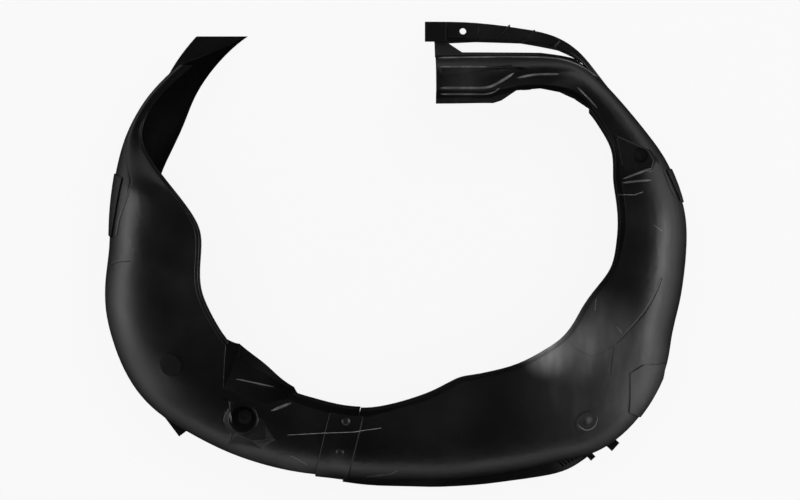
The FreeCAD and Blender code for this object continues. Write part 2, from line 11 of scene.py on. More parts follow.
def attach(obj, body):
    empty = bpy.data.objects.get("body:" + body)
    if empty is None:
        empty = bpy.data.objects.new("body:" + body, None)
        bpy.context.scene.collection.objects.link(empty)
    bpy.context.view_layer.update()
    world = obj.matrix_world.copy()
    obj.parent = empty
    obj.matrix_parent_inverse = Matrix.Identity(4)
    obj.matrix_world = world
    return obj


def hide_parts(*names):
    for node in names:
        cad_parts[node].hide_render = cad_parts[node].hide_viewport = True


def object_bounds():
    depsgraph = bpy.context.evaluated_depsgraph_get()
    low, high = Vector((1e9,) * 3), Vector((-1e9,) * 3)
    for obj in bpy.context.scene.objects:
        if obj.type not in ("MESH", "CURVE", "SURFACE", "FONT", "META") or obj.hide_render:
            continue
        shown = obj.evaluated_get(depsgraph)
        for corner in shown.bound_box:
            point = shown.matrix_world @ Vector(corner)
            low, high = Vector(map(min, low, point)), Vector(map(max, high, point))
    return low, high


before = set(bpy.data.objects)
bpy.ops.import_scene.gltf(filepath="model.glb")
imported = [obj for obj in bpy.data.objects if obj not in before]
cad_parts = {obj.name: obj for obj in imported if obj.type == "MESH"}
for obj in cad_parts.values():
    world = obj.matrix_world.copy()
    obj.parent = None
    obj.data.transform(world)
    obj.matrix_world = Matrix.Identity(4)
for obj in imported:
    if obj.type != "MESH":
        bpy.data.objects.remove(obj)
CAD_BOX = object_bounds()
BASE = CAD_BOX[0][2]
UP = Vector((0.0, 0.0, 1.0))

bl_info = {
    "name": "Wheel guard",
    "version": (1, 0, 0),
    "blender": (4, 5, 0),
    "location": "View3D > Sidebar > Wheel guard",
    "description": "Finishes a moulded wheel arch liner and sets it in a plain studio",
    "category": "Object",
}

# The wheel's axis in the frame, and how the camera looked down on the liner
AXIS = Vector((0.00395, 0.01335, 0.0))
SHOULDER_HEIGHT = 0.130
PIXEL_AT_SHOULDER = 0.001345
PHOTO_CENTRE = (400, 250)
CAMERA_OVER_SHOULDER = 2.0
CAMERA_HEIGHT = CAMERA_OVER_SHOULDER + SHOULDER_HEIGHT
SENSOR_WIDTH = 36.0
PHOTO_WIDTH = 800

# Marks, each as a strength and the photo's pixels that its line passes
CHALK_LINES = {
    "long_scratch": (1.0, ((288, 435), (328, 433), (354, 432), (381, 428))),
    "rim_scratch": (0.5, ((367, 477), (391, 474), (397, 471))),
    "rear_scuff": (0.6, ((291, 456), (299, 460), (307, 465))),
    "seat_scuff": (0.7, ((618, 195), (634, 195), (643, 192))),
    "arm_scuff": (0.6, ((654, 225), (662, 231))),
    "corner_scuff": (0.5, ((617, 327), (622, 333))),
    "inner_scuff": (0.5, ((596, 299), (595, 310))),
}
# Creases are painted near black as painted shade in the crease, and lowered by a bump
CREASE_LINES = {
    "leg_slit": (0.9, ((126, 141), (125.5, 154), (131, 180), (128, 194), (119, 220), (116.5, 235))),
    "corner_crease": (0.5, (
        (661, 279), (657, 290), (651, 302), (644, 313), (634, 325), (624, 336), (617, 343),
    )),
    "corner_arc": (0.16, (
        (569, 341), (575, 348), (583, 353.5), (592, 356), (602, 353), (610, 348), (617, 343),
    )),
    "corner_fold": (0.4, ((613, 348), (611.5, 361), (610, 374))),
    "arm_pad_side": (0.8, ((664.5, 172.5), (670, 187), (675, 197))),
    "haunch_fold": (0.6, ((110, 265.5), (117, 261.5), (130, 260))),
}
# Dusty patches and painted highlights, each as a pixel, a radius in metres and a strength; those at the inner
# edge, on the rim and on the panel are painted highlights, and the four clouds at the lower right are painted
# sheen over a dusty smear
DUST_AND_HIGHLIGHT_PATCHES = {
    "inner_painted_highlight": ((547, 350), 0.042, 1.0),
    "inner_cloud": ((572, 346), 0.060, 0.30),
    "middle_cloud": ((603, 338), 0.075, 0.22),
    "corner_cloud": ((640, 392), 0.085, 0.17),
    "lower_cloud": ((580, 395), 0.110, 0.09),
    "seam_dust": ((341, 462), 0.030, 0.08),
    "rear_rim_painted_highlight": ((258, 456), 0.075, 0.07),
    "rim_painted_highlight": ((302, 469), 0.055, 0.12),
    "panel_painted_highlight": ((465, 77), 0.040, 0.05),
    "dimple_dust": ((589, 420), 0.007, 0.35),
    "louvre_dust": ((568, 463), 0.032, 0.10),
}
# Moulded ridges, each as a share of the full radius and the photo's pixels that it passes
RIDGES = {
    "upper_ridge": (0.9, (
        (438, 58), (470, 57.5), (510, 57), (545, 57.5), (563, 59.5), (581, 66), (597, 77),
    )),
    "panel_top": (0.9, ((439, 67), (487, 67))),
    "panel_foot": (1.1, ((440, 88), (489, 88), (500, 82), (514, 73))),
    "lip_ridge": (0.9, ((440, 94), (490, 94), (500, 88))),
    "step_ridge": (1.0, ((517, 78), (534, 74.5), (559, 74))),
    "arm_ridge": (0.7, ((577, 87), (591, 101), (597, 108))),
    "seat_foot": (1.0, ((622, 183), (634, 181.5), (652, 180))),
    "seat_edge": (1.0, ((623, 179), (652, 168))),
    "boss_edge": (1.2, ((271, 411), (283, 406), (291, 403))),
    "scoop_step": (0.7, ((236, 379), (262, 384.5), (274, 387))),
    "cup_rim": (1.0, ((232, 423), (229.5, 418), (230.5, 412))),
    "dimple_ring": (0.55, ((578, 424), (581, 429.5), (587, 431.5), (593, 429), (598, 422), (597, 416))),
}
# A ridge's rings: pixels between them, their sides, and how many taper to a tip of this share at each end
RING_PITCH = 3
RING_SIDES = 10
TAPER_RINGS = 2
TIP_SHARE = 0.4

# Merging of the CAD skin, and which of its edges are rounded: not those near the foot, which stays flat
MERGE_DISTANCE = 1e-5
SPECK_SIZE = 1e-6
FLAT_ANGLE = math.radians(0.6)
SHORT_EDGE_ROUNDINGS = 3
ROUNDING_SEGMENTS = 2
RIVET_ROUNDING_SHARE = 1 / 3
FOOT = BASE + 0.003

# The louvres' place on the rim, as an angle and a radius about the wheel's axis, and the strip of painted
# shade behind them
VENT_ANGLE = -50.5
VENT_RADIUS = 0.385
VENT_LEAN = -9.0
VENT_SIZE = (0.050, 0.016, 0.0006)

# The web over the slit under the lap's tongue: its angle, corners as radius and height, and thickness
WEB_ANGLE = -103.9
WEB_CORNERS = ((0.3163, 0.004), (0.3255, 0.004), (0.3210, 0.062), (0.3145, 0.062))
WEB_THICKNESS = 0.001

# The two fixing holes and the lap's inner end, through which the covered floor shows, darkened there as
# painted shadow
HOLES = ((245, 416), (640, 155), (358.5, 417))
HOLE_SPOT = (0.007, 0.012)

# Strengths of the finish; a pair is a gain and what is added to it
CHALK_COVER = 1.5
CHALK_ROUGHNESS = 0.8
HAZE_COVER = 0.25
HAZE_ROUGHNESS = 0.12
DUST_AND_HIGHLIGHT_SMEAR = (0.5, 0.7)
CREASE_SHADE_COVER = 0.8
CREASE_HEIGHT = -9.0
SATIN = (0.16, 0.24)
RIVET_SATIN = (0.2, 0.3)
RIVET_HAZE_COVER = 0.6
RIVET_GRAIN_SHARE = 2
RIDGE_HIGHLIGHT_SHARE = (0.6, 0.4)
RIDGE_ROUGHNESS = 0.35
SPECK_COVER = (0.8, 0.35)
SWELL = 4.0

# The studio: the floor's half width, its drop below the foot, how white it glows, and its shade for gloss
FLOOR_HALF = 8.0
FLOOR_DROP = 0.0005
FLOOR_ROUGHNESS = 0.9
GLOW_SHARE = 0.9
SHADE_SPOT = (0.40, 1.45)
FLAG_DISTANCE = 3.2
FLAG_HEIGHT = 2.9

WHITE = (1.0, 1.0, 1.0, 1.0)
PAINTED_SHADE_BLACK = (0.002, 0.002, 0.002, 1.0)
CLOTH_BLACK = (0.004, 0.004, 0.004, 1.0)
SHADE_BLACK = (0.01, 0.01, 0.01, 1.0)


def camera_place():
    """The camera's place, straight above the wheel's axis."""
    return AXIS + UP * CAMERA_HEIGHT


def sight_line(pixel):
    """The way from the camera through this pixel of the photograph, one metre down."""
    slope = PIXEL_AT_SHOULDER / CAMERA_OVER_SHOULDER
    return Vector(((pixel[0] - PHOTO_CENTRE[0]) * slope, (PHOTO_CENTRE[1] - pixel[1]) * slope, -1.0))


def covered_floor(pixel, level):
    """The place on the floor behind this pixel."""
    return camera_place() + sight_line(pixel) * (CAMERA_HEIGHT - level)


def outward(degrees):
    """The way out from the wheel's axis at this angle."""
    turn = math.radians(degrees)
    return Vector((math.cos(turn), math.sin(turn), 0.0))


def skin_tree():
    """A search tree of both mouldings' CAD skins."""
    shape = bmesh.new()
    for node in ("front_section", "rear_section"):
        shape.from_mesh(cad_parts[node].data)
    tree = BVHTree.FromBMesh(shape)
    shape.free()
    return tree


def skin_at(tree, pixel):
    """The skin's point that this pixel of the photograph shows."""
    return tree.ray_cast(camera_place(), sight_line(pixel).normalized())[0]


class WheelGuardFinish(bpy.types.PropertyGroup):
    """Colours and grain of the mouldings"""
    plastic: FloatVectorProperty(
        name="Plastic", description="Colour of the moulded plastic", subtype="COLOR", size=4,
        default=(0.0065, 0.0065, 0.007, 1.0), min=0.0, max=1.0,
    )
    haze: FloatVectorProperty(
        name="Haze", description="Colour of the dusty haze on the skin", subtype="COLOR", size=4,
        default=(0.05, 0.05, 0.051, 1.0), min=0.0, max=1.0,
    )
    # Colour of the dusty patches and of the painted highlights among them
    dust_and_highlight: FloatVectorProperty(
        name="Dust", description="Colour of thick dust", subtype="COLOR", size=4,
        default=(0.3, 0.3, 0.3, 1.0), min=0.0, max=1.0,
    )
    chalk: FloatVectorProperty(
        name="Chalk", description="Colour of chalk lines and white scuffs", subtype="COLOR", size=4,
        default=(0.3, 0.3, 0.295, 1.0), min=0.0, max=1.0,
    )
    rivet: FloatVectorProperty(
        name="Rivet", description="Colour of the rivets", subtype="COLOR", size=4,
        default=(0.012, 0.012, 0.0125, 1.0), min=0.0, max=1.0,
    )
    # Painted highlight: the pale colour on the ridges' tops stands in for their highlights
    highlit: FloatVectorProperty(
        name="Rubbed", description="Colour of ridges that are rubbed pale", subtype="COLOR", size=4,
        default=(0.19, 0.19, 0.19, 1.0), min=0.0, max=1.0,
    )
    grain: FloatProperty(
        name="Grain", description="How many grains of texture stand in a metre", default=900.0, min=10.0,
    )
    line_width: FloatProperty(
        name="Line width", description="Half width of a chalk line", default=0.0004, min=0.0001,
        unit="LENGTH",
    )
    crease_width: FloatProperty(
        name="Crease width", description="Half width of a crease in the skin", default=0.0014, min=0.0001,
        unit="LENGTH",
    )
    ridge: FloatProperty(
        name="Ridge", description="Radius of a moulded ridge", default=0.0016, min=0.0001, unit="LENGTH",
    )
    rounding: FloatProperty(
        name="Rounding", description="Width of the rounding on edges", default=0.0009, min=0.0,
        unit="LENGTH",
    )
    sharp_angle: FloatProperty(
        name="Sharp angle", description="Edges that turn by more than this stay sharp", subtype="ANGLE",
        default=math.radians(28), min=0.0, max=math.pi,
    )


class WheelGuardStage(bpy.types.PropertyGroup):
    """The studio round the liner"""
    floor: FloatVectorProperty(
        name="Floor", description="Colour of the floor", subtype="COLOR", size=4,
        default=(0.85, 0.85, 0.85, 1.0), min=0.0, max=1.0,
    )
    left_power: FloatProperty(
        name="Left light", description="Power of the left light", default=5.0, unit="POWER",
    )
    right_power: FloatProperty(
        name="Right light", description="Power of the right light", default=13.0, unit="POWER",
    )
    fill_power: FloatProperty(
        name="Fill light", description="Power of the light overhead", default=40.0, unit="POWER",
    )
    lens: FloatProperty(
        name="Lens", description="Focal length of the camera in millimetres", min=1.0,
        default=SENSOR_WIDTH * CAMERA_OVER_SHOULDER / (PIXEL_AT_SHOULDER * PHOTO_WIDTH),
    )


# Node helpers
def new_group(name, inputs, outputs):
    """A shader node group with these sockets, as (tree, input node, output node)."""
    tree = bpy.data.node_groups.new(name, "ShaderNodeTree")
    for label, kind in inputs:
        tree.interface.new_socket(name=label, in_out="INPUT", socket_type=kind)
    for label, kind in outputs:
        tree.interface.new_socket(name=label, in_out="OUTPUT", socket_type=kind)
    return tree, tree.nodes.new("NodeGroupInput"), tree.nodes.new("NodeGroupOutput")


def add(tree, kind, **settings):
    """A new node with these settings."""
    node = tree.nodes.new(kind)
    for key, value in settings.items():
        setattr(node, key, value)
    return node


def feed(tree, value, socket):
    """Links a socket to this one, or sets a plain value on it."""
    if isinstance(value, bpy.types.NodeSocket):
        tree.links.new(value, socket)
    elif value is not None:
        socket.default_value = value


def math_node(tree, operation, first, second=None, third=None, clamp=False):
    """A Math node on these sockets or numbers; gives its output."""
    node = add(tree, "ShaderNodeMath", operation=operation, use_clamp=clamp)
    for socket, value in zip(node.inputs, (first, second, third)):
        feed(tree, value, socket)
    return node.outputs[0]


def vector_node(tree, operation, first, second=None, output=0):
    """A Vector Math node on these sockets or vectors; gives its output."""
    node = add(tree, "ShaderNodeVectorMath", operation=operation)
    for socket, value in zip(node.inputs, (first, second)):
        feed(tree, value, socket)
    return node.outputs[output]


def ramp(tree, value, low, high, first=0.0, last=1.0):
    """A smooth step of the value, from first at low to last at high."""
    node = add(tree, "ShaderNodeMapRange", interpolation_type="SMOOTHSTEP")
    feed(tree, value, node.inputs["Value"])
    for label, number in (("From Min", low), ("From Max", high), ("To Min", first), ("To Max", last)):
        node.inputs[label].default_value = number
    return node.outputs["Result"]


def noise(tree, vector, scale, detail, roughness=0.5):
    """Noise on these coordinates, as a value."""
    node = add(tree, "ShaderNodeTexNoise")
    for label, value in (("Vector", vector), ("Scale", scale), ("Detail", detail), ("Roughness", roughness)):
        feed(tree, value, node.inputs[label])
    return node.outputs[0]


def mix_colour(tree, mask, first, second):
    """A colour that goes from the first to the second with the mask; each is a socket or a colour."""
    node = add(tree, "ShaderNodeMix", data_type="RGBA")
    for socket, value in ((node.inputs[0], mask), (node.inputs[6], first), (node.inputs[7], second)):
        feed(tree, value, socket)
    return node.outputs[2]


def mix_shader(tree, mask, first, second, output):
    """Shows the second shader where the mask is one, and the first elsewhere."""
    node = add(tree, "ShaderNodeMixShader")
    for socket, value in zip(node.inputs, (mask, first, second)):
        tree.links.new(value, socket)
    tree.links.new(node.outputs[0], tree.nodes[output].inputs["Surface"])


def soft_spot(tree, coords, centre, inner, outer):
    """A mask that is one inside this radius of a point and fades to nothing."""
    away = vector_node(tree, "DISTANCE", coords, tuple(centre), output=1)
    return ramp(tree, away, inner, outer, first=1.0, last=0.0)


def use_group(tree, name, vector):
    """A node of this shared group, fed with these coordinates."""
    node = add(tree, "ShaderNodeGroup", node_tree=bpy.data.node_groups[name])
    tree.links.new(vector, node.inputs["Vector"])
    return node


def add_bump(tree, shader, height, strength, distance):
    """Roughens the shader's normal with this height."""
    bump = add(tree, "ShaderNodeBump")
    bump.inputs["Strength"].default_value = strength
    bump.inputs["Distance"].default_value = distance
    tree.links.new(height, bump.inputs["Height"])
    tree.links.new(bump.outputs["Normal"], shader.inputs["Normal"])


def background_rays(tree):
    """One for the rays that see the plain background: the camera's, and those through glass and off gloss."""
    path = add(tree, "ShaderNodeLightPath")
    seen = math_node(tree, "MAXIMUM", path.outputs["Is Camera Ray"], path.outputs["Is Transmission Ray"])
    return math_node(tree, "MAXIMUM", seen, path.outputs["Is Glossy Ray"])


def line_mark_group():
    """A soft line between two points in plan, seen from the crown's side."""
    tree, given, result = new_group(
        "line_mark",
        (("Vector", "NodeSocketVector"), ("Start", "NodeSocketVector"), ("End", "NodeSocketVector"),
         ("Half Width", "NodeSocketFloat")),
        (("Mask", "NodeSocketFloat"),),
    )
    flat = (1.0, 1.0, 0.0)
    start = given.outputs["Start"]
    here = vector_node(tree, "SUBTRACT", given.outputs["Vector"], start)
    here = vector_node(tree, "MULTIPLY", here, flat)
    line = vector_node(tree, "SUBTRACT", given.outputs["End"], start)
    line = vector_node(tree, "MULTIPLY", line, flat)
    along = vector_node(tree, "DOT_PRODUCT", here, line, output=1)
    whole = vector_node(tree, "DOT_PRODUCT", line, line, output=1)
    share = math_node(tree, "DIVIDE", along, whole, clamp=True)
    scaled = add(tree, "ShaderNodeVectorMath", operation="SCALE")
    tree.links.new(line, scaled.inputs[0])
    tree.links.new(share, scaled.inputs["Scale"])
    away = vector_node(tree, "SUBTRACT", here, scaled.outputs[0])
    away = vector_node(tree, "LENGTH", away, output=1)
    widths = math_node(tree, "DIVIDE", away, given.outputs["Half Width"])
    tree.links.new(ramp(tree, widths, low=0.5, high=1.5, first=1.0, last=0.0), result.inputs["Mask"])


def grain_group():
    """The fine grain and slight waves of a moulded skin, as a height."""
    tree, given, result = new_group(
        "moulded_grain",
        (("Vector", "NodeSocketVector"), ("Grains", "NodeSocketFloat")),
        (("Height", "NodeSocketFloat"), ("Rough", "NodeSocketFloat")),
    )
    vector = given.outputs["Vector"]
    fine = noise(tree, vector, scale=given.outputs["Grains"], detail=3.0)
    wave = noise(tree, vector, scale=11.0, detail=4.0)
    swell = math_node(tree, "MULTIPLY", wave, SWELL)
    tree.links.new(math_node(tree, "ADD", fine, swell), result.inputs["Height"])
    tree.links.new(wave, result.inputs["Rough"])


def haze_group():
    """Patches of dusty haze with fine scuffs through them."""
    tree, given, result = new_group(
        "dusty_haze", (("Vector", "NodeSocketVector"),),
        (("Mask", "NodeSocketFloat"), ("Smear", "NodeSocketFloat")),
    )
    vector = given.outputs["Vector"]
    cloud = noise(tree, vector, scale=6.0, detail=6.0, roughness=0.62)
    patch = ramp(tree, cloud, low=0.42, high=0.78)
    speck = noise(tree, vector, scale=140.0, detail=5.0)
    dots = math_node(tree, "MULTIPLY_ADD", speck, *SPECK_COVER)
    tree.links.new(math_node(tree, "MULTIPLY", patch, dots, clamp=True), result.inputs["Mask"])
    stretched = vector_node(tree, "MULTIPLY", vector, (1.0, 0.3, 0.3))
    smear = noise(tree, stretched, scale=55.0, detail=5.0)
    tree.links.new(ramp(tree, smear, low=0.35, high=0.7), result.inputs["Smear"])


def place_lines(tree, vector, lines, half_width):
    """One mask for all these lines."""
    skin = skin_tree()
    masks = []
    for name, (strength, pixels) in lines.items():
        points = [skin_at(skin, pixel) for pixel in pixels]
        for start, end in zip(points, points[1:]):
            mark = use_group(tree, "line_mark", vector)
            mark.label = name
            mark.inputs["Start"].default_value = start
            mark.inputs["End"].default_value = end
            mark.inputs["Half Width"].default_value = half_width
            masks.append(math_node(tree, "MULTIPLY", mark.outputs["Mask"], strength))
    whole = masks[0]
    for mask in masks[1:]:
        whole = math_node(tree, "MAXIMUM", whole, mask)
    return whole


def new_material(name):
    """A fresh node material, as (material, tree, shader)."""
    material = bpy.data.materials.new(name)
    material.use_nodes = True
    tree = material.node_tree
    return material, tree, tree.nodes["Principled BSDF"]


def liner_plastic(finish):
    """Black moulded plastic with fine grain, haze, dusty patches and painted highlights, chalk lines, and
    creases painted dark as painted shade.
    """
    _, tree, shader = new_material("black_moulding")
    coords = add(tree, "ShaderNodeTexCoord").outputs["Object"]
    grain = use_group(tree, "moulded_grain", coords)
    grain.inputs["Grains"].default_value = finish.grain
    haze = use_group(tree, "dusty_haze", coords)
    chalk = place_lines(tree, coords, CHALK_LINES, finish.line_width)
    crease = place_lines(tree, coords, CREASE_LINES, finish.crease_width)

    broken = noise(tree, coords, scale=160.0, detail=4.0)
    cover = math_node(tree, "MULTIPLY", broken, CHALK_COVER)
    chalk_mask = math_node(tree, "MULTIPLY", chalk, cover, clamp=True)
    haze_mask = math_node(tree, "MULTIPLY", haze.outputs["Mask"], HAZE_COVER)
    colour = mix_colour(tree, haze_mask, tuple(finish.plastic), tuple(finish.haze))
    cloudy = math_node(tree, "MULTIPLY_ADD", haze.outputs["Smear"], *DUST_AND_HIGHLIGHT_SMEAR)
    skin = skin_tree()
    # Dusty patches and painted highlights, each lightened towards the same pale colour
    for pixel, radius, strength in DUST_AND_HIGHLIGHT_PATCHES.values():
        spot = soft_spot(tree, coords, skin_at(skin, pixel), 0.0, radius)
        spot = math_node(tree, "MULTIPLY", spot, strength)
        dust_and_highlight_mask = math_node(tree, "MULTIPLY", spot, cloudy, clamp=True)
        colour = mix_colour(tree, dust_and_highlight_mask, colour, tuple(finish.dust_and_highlight))
    # Painted shade: the creases are darkened towards near black
    crease_shade = math_node(tree, "MULTIPLY", crease, CREASE_SHADE_COVER)
    colour = mix_colour(tree, crease_shade, colour, PAINTED_SHADE_BLACK)
    colour = mix_colour(tree, chalk_mask, colour, tuple(finish.chalk))
    tree.links.new(colour, shader.inputs["Base Color"])

    satin = math_node(tree, "MULTIPLY_ADD", grain.outputs["Rough"], *SATIN)
    rough = math_node(tree, "MULTIPLY_ADD", haze.outputs["Mask"], HAZE_ROUGHNESS, satin)
    chalky = math_node(tree, "MULTIPLY", chalk_mask, CHALK_ROUGHNESS)
    tree.links.new(math_node(tree, "MAXIMUM", rough, chalky), shader.inputs["Roughness"])

    lowered = math_node(tree, "MULTIPLY", crease, CREASE_HEIGHT)
    height = math_node(tree, "ADD", grain.outputs["Height"], lowered)
    add_bump(tree, shader, height, strength=0.35, distance=0.0002)


def rivet_plastic(finish):
    """Satin plastic of the rivets."""
    _, tree, shader = new_material("black_rivet")
    coords = add(tree, "ShaderNodeTexCoord").outputs["Object"]
    grain = use_group(tree, "moulded_grain", coords)
    grain.inputs["Grains"].default_value = RIVET_GRAIN_SHARE * finish.grain
    haze = use_group(tree, "dusty_haze", coords)
    haze_mask = math_node(tree, "MULTIPLY", haze.outputs["Mask"], RIVET_HAZE_COVER)
    colour = mix_colour(tree, haze_mask, tuple(finish.rivet), tuple(finish.haze))
    tree.links.new(colour, shader.inputs["Base Color"])
    satin = math_node(tree, "MULTIPLY_ADD", grain.outputs["Rough"], *RIVET_SATIN)
    tree.links.new(satin, shader.inputs["Roughness"])
    add_bump(tree, shader, grain.outputs["Height"], strength=0.2, distance=0.0001)


def highlit_plastic(finish):
    """The same plastic, painted pale in patches along the tops of its ridges as painted highlights."""
    _, tree, shader = new_material("highlit_moulding")
    coords = add(tree, "ShaderNodeTexCoord").outputs["Object"]
    haze = use_group(tree, "dusty_haze", coords)
    highlight_share = math_node(tree, "MULTIPLY_ADD", haze.outputs["Smear"], *RIDGE_HIGHLIGHT_SHARE)
    colour = mix_colour(tree, highlight_share, tuple(finish.plastic), tuple(finish.highlit))
    tree.links.new(colour, shader.inputs["Base Color"])
    shader.inputs["Roughness"].default_value = RIDGE_ROUGHNESS


def vent_shade():
    """Plain dark plastic for the strip behind the louvres, which is painted shade."""
    material, _, shader = new_material("vent_shade")
    shader.inputs["Base Color"].default_value = PAINTED_SHADE_BLACK
    shader.inputs["Roughness"].default_value = 0.7
    return material


def new_piece(name, shape, material):
    """An object from this shape, which is used up, with one material."""
    mesh = bpy.data.meshes.new(name)
    shape.to_mesh(mesh)
    shape.free()
    mesh.materials.append(material)
    piece = bpy.data.objects.new(name, mesh)
    bpy.context.scene.collection.objects.link(piece)
    return piece


def finished_copy(name, node, slot, material, sharp_angle, rounding):
    """A merged, smooth-shaded copy of a CAD node that stands for it."""
    shape = bmesh.new()
    shape.from_mesh(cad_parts[node].data)
    bmesh.ops.remove_doubles(shape, verts=shape.verts, dist=MERGE_DISTANCE)
    bmesh.ops.dissolve_degenerate(shape, edges=shape.edges, dist=SPECK_SIZE)
    bmesh.ops.dissolve_limit(shape, angle_limit=FLAT_ANGLE, verts=shape.verts, edges=shape.edges)
    for face in shape.faces:
        face.smooth = True
    rounded = shape.edges.layers.float.new("bevel_weight_edge")
    for edge in shape.edges:
        edge.smooth = edge.calc_face_angle(math.pi) < sharp_angle
        short = edge.calc_length() < SHORT_EDGE_ROUNDINGS * rounding
        low = min(vert.co.z for vert in edge.verts) < FOOT
        edge[rounded] = 0.0 if edge.smooth or short or low else 1.0
    piece = new_piece(name, shape, material)
    soften = piece.modifiers.new("rounded_edges", "BEVEL")
    soften.width = rounding
    soften.segments = ROUNDING_SEGMENTS
    soften.limit_method = "WEIGHT"
    soften.use_clamp_overlap = False
    weigh = piece.modifiers.new("weighted_normals", "WEIGHTED_NORMAL")
    weigh.keep_sharp = True
    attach(piece, "root")
    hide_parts(node)
    return piece


def bead(shape, skin, pixels, radius):
    """A half-sunk round bead on the skin, along these pixels of the photograph."""
    path = []
    for start, end in zip(pixels, pixels[1:]):
        steps = max(2, round(math.dist(start, end) / RING_PITCH))
        path += [[a + (b - a) * n / steps for a, b in zip(start, end)] for n in range(steps)]
    path.append(pixels[-1])
    places = [skin_at(skin, pixel) for pixel in path]
    last = len(places) - 1
    loops = []
    for n, place in enumerate(places):
        if 1 < n < last - 1:
            near = places[n - 2:n + 3]
            place = sum(near, Vector((0.0, 0.0, 0.0))) / len(near)
        along = places[min(n + 1, last)] - places[max(n - 1, 0)]
        turn = along.to_track_quat("Z", "Y").to_matrix().to_4x4()
        from_end = min(n, last - n)
        ring = bmesh.ops.create_circle(
            shape, cap_ends=n in (0, last), segments=RING_SIDES,
            radius=radius * min(1.0, (from_end + TIP_SHARE) / TAPER_RINGS),
            matrix=Matrix.Translation(place) @ turn,
        )["verts"]
        loops.append(list({edge for vert in ring for edge in vert.link_edges}))
    for low, high in zip(loops, loops[1:]):
        for face in bmesh.ops.bridge_loops(shape, edges=low + high)["faces"]:
            face.smooth = True


class WHEELGUARD_OT_materials(bpy.types.Operator):
    """Makes the shared node groups and the plastics"""
    bl_idname = "wheel_guard.materials"
    bl_label = "Materials"

    def execute(self, context):
        line_mark_group()
        grain_group()
        haze_group()
        liner_plastic(context.scene.wheel_guard_finish)
        highlit_plastic(context.scene.wheel_guard_finish)
        rivet_plastic(context.scene.wheel_guard_finish)
        return {"FINISHED"}


class WHEELGUARD_OT_mouldings(bpy.types.Operator):
    """Finishes the front and the rear moulding"""
    bl_idname = "wheel_guard.mouldings"
    bl_label = "Mouldings"

    def execute(self, context):
        plastic = bpy.data.materials["black_moulding"]
        finish = context.scene.wheel_guard_finish
        shared = ("liner_plastic", plastic, finish.sharp_angle, finish.rounding)
        finished_copy("front_moulding", "front_section", *shared)
        finished_copy("rear_moulding", "rear_section", *shared)
        return {"FINISHED"}


class WHEELGUARD_OT_ridges(bpy.types.Operator):
    """Raises the moulded ridges of the sill, the seat and the boss, their tops painted pale as painted
    highlights
    """
    bl_idname = "wheel_guard.ridges"
    bl_label = "Ridges"

    def execute(self, context):
        shape = bmesh.new()
        skin = skin_tree()
        for share, pixels in RIDGES.values():
            bead(shape, skin, pixels, share * context.scene.wheel_guard_finish.ridge)
        bmesh.ops.recalc_face_normals(shape, faces=shape.faces)
        ridges = new_piece("moulded_ridges", shape, bpy.data.materials["highlit_moulding"])
        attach(ridges, "root")
        return {"FINISHED"}


class WHEELGUARD_OT_vent(bpy.types.Operator):
    """Backs the louvres with a thin dark strip of painted shade, so that no floor shows through"""
    bl_idname = "wheel_guard.vent"
    bl_label = "Vent backing"

    def execute(self, context):
        place = AXIS + outward(VENT_ANGLE) * VENT_RADIUS
        place.z = BASE + VENT_SIZE[2]
        lie = Matrix.Rotation(math.radians(VENT_ANGLE + 90 + VENT_LEAN), 4, "Z")
        strip = Matrix.Translation(place) @ lie @ Matrix.Diagonal((*VENT_SIZE, 1))
        shape = bmesh.new()
        bmesh.ops.create_cube(shape, size=1.0, matrix=strip)
        shading = new_piece("vent_shading", shape, vent_shade())
        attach(shading, "root")
        return {"FINISHED"}


class WHEELGUARD_OT_web(bpy.types.Operator):
    """Closes the slit under the lap's tongue with a thin web"""
    bl_idname = "wheel_guard.web"
    bl_label = "Seam web"

    def execute(self, context):
        out = outward(WEB_ANGLE)
        shape = bmesh.new()
        corners = [shape.verts.new(AXIS + out * radius + UP * height) for radius, height in WEB_CORNERS]
        sheet = shape.faces.new(corners)
        bmesh.ops.solidify(shape, geom=[sheet], thickness=WEB_THICKNESS)
        bmesh.ops.recalc_face_normals(shape, faces=shape.faces)
        web = new_piece("seam_web", shape, bpy.data.materials["black_moulding"])
        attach(web, "root")
        return {"FINISHED"}


class WHEELGUARD_OT_rivets(bpy.types.Operator):
    """Finishes the rivets of the lap seam"""
    bl_idname = "wheel_guard.rivets"
    bl_label = "Rivets"

    def execute(self, context):
        plastic = bpy.data.materials["black_rivet"]
        finish = context.scene.wheel_guard_finish
        rounding = finish.rounding * RIVET_ROUNDING_SHARE
        finished_copy("lap_rivets", "seam_rivets", "rivet", plastic, finish.sharp_angle, rounding)
        return {"FINISHED"}


def facing(place, target):
    """The turn that points a light or a card at the target."""
    return (Vector(target) - Vector(place)).to_track_quat("-Z", "Y").to_euler()


def area_light(name, place, target, width, height, power):
    """A soft rectangular light that faces the target."""
    lamp = bpy.data.lights.new(name, "AREA")
    lamp.shape = "RECTANGLE"
    lamp.size = width
    lamp.size_y = height
    lamp.energy = power
    holder = bpy.data.objects.new(name, lamp)
    holder.location = place
    holder.rotation_euler = facing(place, target)
    bpy.context.scene.collection.objects.link(holder)
    return holder


def dark_flag(name, width, depth, place, target):
    """A black card that only gloss sees, so that black plastic stays deep black on that side."""
    shape = bmesh.new()
    bmesh.ops.create_grid(shape, x_segments=1, y_segments=1, size=0.5)
    card = new_piece(name, shape, bpy.data.materials["flag_cloth"])
    card.location = place
    card.scale = (width, depth, 1.0)
    card.rotation_euler = facing(place, target)
    card.visible_camera = False
    card.visible_diffuse = False
    card.visible_transmission = False
    card.visible_shadow = False


def flag_cloth():
    """Black cloth with no shine."""
    shader = new_material("flag_cloth")[2]
    shader.inputs["Base Color"].default_value = CLOTH_BLACK
    shader.inputs["Roughness"].default_value = 1.0
    shader.inputs["Specular IOR Level"].default_value = 0.0


